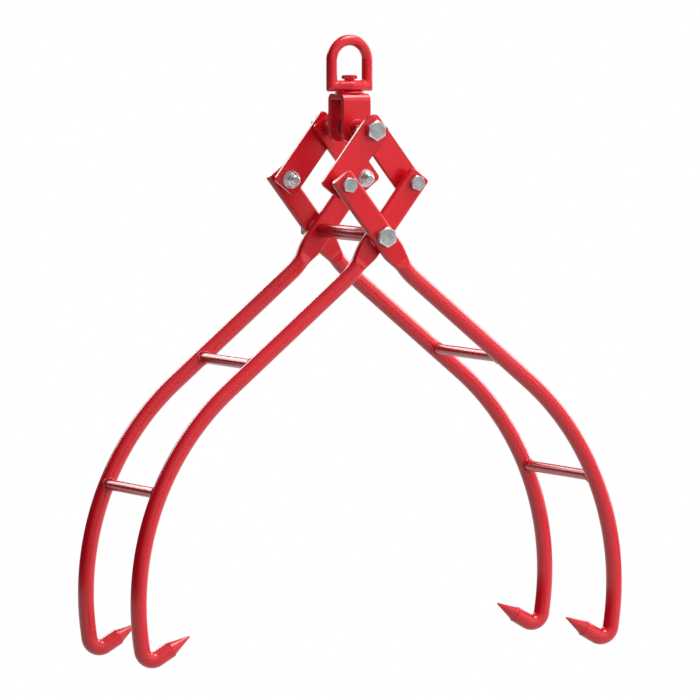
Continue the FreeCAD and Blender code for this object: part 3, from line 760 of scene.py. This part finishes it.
def forged_arm(bm):
    """The arm about its bottom pivot: paddle up, claw to +X."""
    bearing = bm.verts.layers.float.new("bearing")
    at = Vector((0, 0, knee_top))
    first = bmesh.ops.create_circle(bm, segments=96, radius=rod_r, matrix=Matrix.Translation(at))
    for v in first["verts"]:
        v[bearing] = atan2(v.co.y, v.co.x)
    root = rim_of(first["verts"])

    loop = root
    for level in paddle_levels():
        loop = draw_out(bm, loop, (0, 0, 0))
        part = min(1.0, max(0.0, (paddle_narrows - level) / (paddle_narrows - knee_top)))
        half = paddle_half - part * part * (3 - 2 * part) * (paddle_half - rod_r)
        limit = flat_y
        drop = scoop_top - level
        if drop > 0:
            limit += scoop_r - sqrt(scoop_r ** 2 - drop ** 2)
        below = paddle_top - level
        if below < corner_r:
            half = paddle_half - corner_r + sqrt(max(0.0, corner_r ** 2 - (corner_r - below) ** 2))
        if below < end_rim_r:
            limit -= end_rim_r - sqrt(max(0.0, end_rim_r ** 2 - (end_rim_r - below) ** 2))
        for v in loop_points(loop):
            v.co = (half * cos(v[bearing]), pressed(rod_r * sin(v[bearing]), limit), level)
    bmesh.ops.holes_fill(bm, edges=loop)

    loop = root
    heading = 0.0
    for radius, amount, steps in ((knee_r, knee_turn, 8), (0, shank, 24), (bow_r, bow_turn, 72),
                                  (0, run_to_hook, 2), (hook_r, hook_turn, 44), (0, run_to_point, 5)):
        if radius:
            middle, at, turned_to = bend_of(at, heading, radius * mm, amount)
            loop = bend_round(bm, loop, middle, (0, 1, 0), -radians(amount), steps)
            heading = turned_to
        else:
            run = heading_out(heading) * amount * mm
            at = at + run
            for step in range(steps):
                loop = draw_out(bm, loop, run / steps)
    onward = heading_out(heading)
    reached, radius = 0.0, rod_r
    for forward, new_radius in point_outline:
        loop = draw_out(bm, loop, onward * (forward * mm - reached))
        reached = forward * mm
        shrink = new_radius * mm / radius
        for v in loop_points(loop):
            v.co = at + onward * reached + (v.co - at - onward * reached) * shrink
        radius = new_radius * mm
    bmesh.ops.holes_fill(bm, edges=loop)


mid_y = {name: abs(sum(c[1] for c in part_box(f"rear_{name}_arm"))) / 2 for name in ("left", "right")}
for end, out in (("front", -1), ("rear", 1)):
    for side, name in ((1, "right"), (-1, "left")):
        bm = bmesh.new()
        forged_arm(bm)
        bmesh.ops.transform(bm, verts=bm.verts,
                            matrix=Matrix.Translation((0, out * mid_y[name], bottom_pivot.z))
                            @ Matrix.Diagonal((side, 1, 1, 1)) @ Matrix.Rotation(-lean, 4, "Y"))
        fit_piece(bm, f"{end}_{name}_claw", f"{name}_claws", arm_red, "red_coat", f"{end}_{name}_arm",
                  crease=30)

# ------------------------------------------------------------------
# Rungs: four round steel bars that tie each pair of arms together, set between
# the arms' bars and welded all round.
rung_red = red_powder_coat("rung_red", (0.50, 0.003, 0.012, 1), (0.62, 0.006, 0.018, 1),
                           0.24, 0.34, 0.020)
rung_r = 7 * mm
rung_short = 4 * mm
bead_r = 7.9 * mm
bead_sunk = 0.3 * mm
upper_rung_down_shank = 170
lower_rung_round_bow = -26.6
knee_foot = bend_of(Vector((0, 0, knee_top)), 0.0, knee_r * mm, knee_turn)[1]
upper_place = knee_foot + heading_out(knee_turn) * upper_rung_down_shank * mm
bow_start = knee_foot + heading_out(knee_turn) * shank * mm
lower_place, lower_heading = bend_of(bow_start, knee_turn, bow_r * mm, lower_rung_round_bow)[1:]


def bar_skin(turn, course, reach):
    """How far along Y a bead round the rung has to lie to meet the round arm at this bearing."""
    aside = bead_r * (cos(turn) * course.z + sin(turn) * course.x)
    return reach - bead_sunk - sqrt(rod_r ** 2 - aside ** 2)


for level, place, heading in (("upper", upper_place, knee_turn), ("lower", lower_place, lower_heading)):
    for side, name in ((1, "right"), (-1, "left")):
        swing = Matrix.Diagonal((side, 1, 1)) @ Matrix.Rotation(-lean, 3, "Y")
        spot = swing @ place + bottom_pivot
        course = swing @ heading_out(heading)
        reach = mid_y[name]
        bm = bmesh.new()
        turned(bm, [(axis_r, rung_short - reach), (rung_r, rung_short - reach),
                    (rung_r, reach - rung_short), (axis_r, reach - rung_short)], segments=64)
        for end in (-1, 1):
            weld_bead(bm, bead_r, 1.9 * mm, 20, lambda turn: end * bar_skin(turn, course, reach))
        stand_out(bm, spot.x, 0, spot.z, 1)
        fit_piece(bm, f"{level}_{name}_tie", f"{name}_claws", rung_red, "red_coat", f"{level}_{name}_rung",
                  crease=40)

# ------------------------------------------------------------------
# Bottom pivot: a long bolt through all four arms with its nut at the rear, a
# sleeve between the inner arms, and a washer between each inner and outer arm.
bolt_along_y("long_bottom_bolt", "bottom_pivot_bolt", "right_claws", M16, bottom_pivot, -1)
washer_along_y("bottom_bolt_washer", "bottom_nut_washer", "right_claws", m16_hole, bottom_pivot)
nut_along_y("bottom_bolt_nut", "bottom_pivot_nut", "right_claws", M16, bottom_pivot, 1)
for end in ("front", "rear"):
    washer_along_y(end + "_side_washer", end + "_arm_washer", "right_claws", m16_hole, bottom_pivot)
low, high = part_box("bottom_pivot_tube")
bm = bmesh.new()
turned(bm, sleeve(m16_hole * mm, 9.75 * mm, low[1], high[1], 0.4 * mm), segments=96)
stand_out(bm, 0, 0, bottom_pivot.z, 1)
fit_piece(bm, "bottom_sleeve", "right_claws", plate_red, "red_coat", "bottom_pivot_tube", crease=40)
